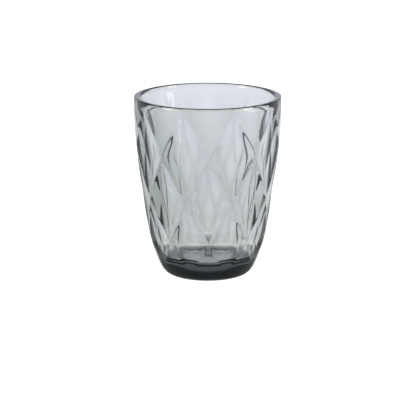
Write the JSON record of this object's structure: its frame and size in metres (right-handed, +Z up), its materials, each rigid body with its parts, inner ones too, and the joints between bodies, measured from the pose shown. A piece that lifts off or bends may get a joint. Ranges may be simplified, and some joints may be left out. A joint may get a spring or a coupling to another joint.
{
  "type": "whiskey tumbler",
  "caption": "Low drinking glass of pressed smoke-grey glass: barrel-shaped wall with staggered diamond facets, plain rounded rim, smooth hollow and heavy solid base.",
  "frame": {"origin": "centre of the flat foot that the glass stands on", "axes": "+Z up along the glass's axis; -Y faces the viewer, and a crossing of the facet lattice, the side point of two facets of the upper row, lies on -Y at 71.5 mm"},
  "size_m": [0.081, 0.081, 0.1],
  "materials": {
    "smoked_glass": "fire-polished pressed soda-lime glass, tinted smoke grey through its whole thickness"
  },
  "bodies": {
    "root": {"tumbler": "smoked_glass"}
  },
  "joints": []
}
